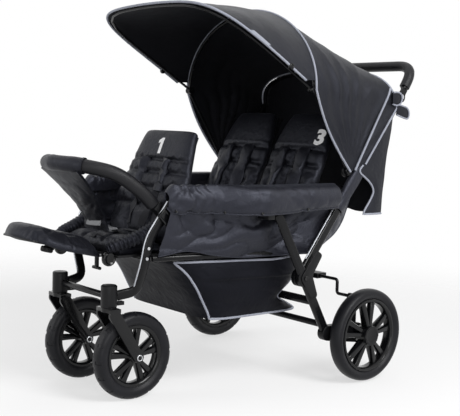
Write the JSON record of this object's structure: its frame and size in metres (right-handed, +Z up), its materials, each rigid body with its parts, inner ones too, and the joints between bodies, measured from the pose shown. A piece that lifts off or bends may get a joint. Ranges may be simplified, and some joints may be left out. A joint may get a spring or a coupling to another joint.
{
  "type": "triple stroller",
  "caption": "Folding stroller with a narrow front seat ahead of a pair of rear seats, a hooped canopy, bumper bar, under-seat basket, swivel front wheels and spoked rear wheels.",
  "frame": {"origin": "centre of the bounding box on the floor", "axes": "+Z up, -Y towards the front where the children face, +X to the children's left"},
  "size_m": [0.764, 1.2391, 1.108],
  "materials": {
    "tube": "satin black",
    "plastic": "satin black",
    "fabric": "dark charcoal woven nylon",
    "foam": "black foam",
    "tyre": "dark grey rubber",
    "steel": "zinc plated"
  },
  "bodies": {
    "seat_frame": {"upright_left": "tube", "upright_right": "tube", "front_leg_left": "tube", "front_leg_right": "tube", "arm_rail_left": "tube", "arm_rail_right": "tube", "seat_rails": "tube", "cross_tubes": "tube", "caster_housings": "plastic", "frame_pins": "steel", "leg_latches": "plastic", "bumper_sockets": "plastic", "canopy_clamps": "plastic", "rear_bow": "tube", "front_seat_tray": "plastic", "rear_seat_tray": "plastic", "front_seat_pad": "fabric", "rear_seat_pad_left": "fabric", "rear_seat_pad_right": "fabric", "side_panel_left": "fabric", "side_panel_right": "fabric", "basket": "fabric", "rear_curtain": "fabric", "canopy_cloth": "fabric", "seat_buckles": "plastic"},
    "rear_legs": {"rear_leg_left": "tube", "rear_leg_right": "tube", "rear_cross_tubes": "tube", "axle_shoe_left": "plastic", "axle_shoe_right": "plastic"},
    "rear_wheel_left": {"rear_tyre_left": "tyre", "rear_rim_left": "plastic"},
    "rear_wheel_right": {"rear_tyre_right": "tyre", "rear_rim_right": "plastic"},
    "brake": {"brake_bar": "tube", "brake_pedal": "plastic"},
    "caster_left": {"fork_left": "plastic"},
    "caster_right": {"fork_right": "plastic"},
    "front_wheel_left": {"front_tyre_left": "tyre", "front_rim_left": "plastic"},
    "front_wheel_right": {"front_tyre_right": "tyre", "front_rim_right": "plastic"},
    "swivel_lock_left": {"swivel_lock_left": "plastic"},
    "swivel_lock_right": {"swivel_lock_right": "plastic"},
    "handle": {"handle_tube": "tube", "handle_grip": "foam"},
    "canopy_hoop": {"main_hoop": "tube"},
    "visor": {"visor_hoop": "tube", "visor_cloth": "fabric"},
    "bumper_bar": {"bumper_tube": "tube", "bumper_foam": "foam"},
    "front_backrest": {"front_back_board": "plastic", "front_back_pad": "fabric"},
    "rear_backrest_left": {"rear_back_board_left": "plastic", "rear_back_pad_left": "fabric"},
    "rear_backrest_right": {"rear_back_board_right": "plastic", "rear_back_pad_right": "fabric"},
    "footrest": {"footrest_board": "plastic", "footrest_pad": "fabric"},
    "footrest_lever": {"footrest_lever": "plastic"}
  },
  "joints": [
    {"name": "leg_fold", "type": "hinge", "parent": "seat_frame", "child": "rear_legs", "pos_m": [0, 0.135, 0.323], "axis": [-1, 0, 0], "range_deg": [0, 70], "deforming": ["basket"]},
    {"name": "rear_wheel_left_spin", "type": "hinge", "parent": "rear_legs", "child": "rear_wheel_left", "pos_m": [0.355, 0.361, 0.14], "axis": [1, 0, 0], "continuous": true},
    {"name": "rear_wheel_right_spin", "type": "hinge", "parent": "rear_legs", "child": "rear_wheel_right", "pos_m": [-0.355, 0.361, 0.14], "axis": [1, 0, 0], "continuous": true},
    {"name": "brake_tilt", "type": "hinge", "parent": "rear_legs", "child": "brake", "pos_m": [0, 0.342, 0.25], "axis": [-1, 0, 0], "range_deg": [0, 20]},
    {"name": "caster_left_swivel", "type": "hinge", "parent": "seat_frame", "child": "caster_left", "pos_m": [0.129, -0.407, 0.29], "axis": [0, 0, 1], "continuous": true},
    {"name": "caster_right_swivel", "type": "hinge", "parent": "seat_frame", "child": "caster_right", "pos_m": [-0.129, -0.407, 0.29], "axis": [0, 0, 1], "continuous": true},
    {"name": "front_wheel_left_spin", "type": "hinge", "parent": "caster_left", "child": "front_wheel_left", "pos_m": [0.129, -0.328, 0.12], "axis": [1, 0, 0], "continuous": true},
    {"name": "front_wheel_right_spin", "type": "hinge", "parent": "caster_right", "child": "front_wheel_right", "pos_m": [-0.129, -0.328, 0.12], "axis": [1, 0, 0], "continuous": true},
    {"name": "swivel_lock_left_pull", "type": "slide", "parent": "seat_frame", "child": "swivel_lock_left", "axis": [0, 1, 0], "range_m": [0, 0.005]},
    {"name": "swivel_lock_right_pull", "type": "slide", "parent": "seat_frame", "child": "swivel_lock_right", "axis": [0, 1, 0], "range_m": [0, 0.005]},
    {"name": "handle_fold", "type": "hinge", "parent": "seat_frame", "child": "handle", "pos_m": [0, 0.53948, 0.85588], "axis": [-1, 0, 0], "range_deg": [0, 110]},
    {"name": "canopy_fold", "type": "hinge", "parent": "seat_frame", "child": "canopy_hoop", "pos_m": [0, 0.32199, 0.626], "axis": [-1, 0, 0], "range_deg": [0, 40], "deforming": ["canopy_cloth"]},
    {"name": "visor_tilt", "type": "hinge", "parent": "canopy_hoop", "child": "visor", "pos_m": [0, 0.166, 0.862], "axis": [-1, 0, 0], "range_deg": [0, 45], "deforming": ["visor_cloth"]},
    {"name": "bumper_pull", "type": "slide", "parent": "seat_frame", "child": "bumper_bar", "axis": [0, -0.7071, 0.7071], "range_m": [0, 0.04]},
    {"name": "front_back_recline", "type": "hinge", "parent": "seat_frame", "child": "front_backrest", "pos_m": [0, -0.222, 0.4078], "axis": [-1, 0, 0], "range_deg": [0, 25]},
    {"name": "rear_back_left_recline", "type": "hinge", "parent": "seat_frame", "child": "rear_backrest_left", "pos_m": [0.128, 0.168, 0.4078], "axis": [-1, 0, 0], "range_deg": [0, 16]},
    {"name": "rear_back_right_recline", "type": "hinge", "parent": "seat_frame", "child": "rear_backrest_right", "pos_m": [-0.128, 0.168, 0.4078], "axis": [-1, 0, 0], "range_deg": [0, 16]},
    {"name": "footrest_tilt", "type": "hinge", "parent": "seat_frame", "child": "footrest", "pos_m": [0, -0.408, 0.3974], "axis": [1, 0, 0], "range_deg": [0, 50]},
    {"name": "footrest_lever_tilt", "type": "hinge", "parent": "seat_frame", "child": "footrest_lever", "pos_m": [0, -0.366, 0.3864], "axis": [1, 0, 0], "range_deg": [0, 15]}
  ]
}
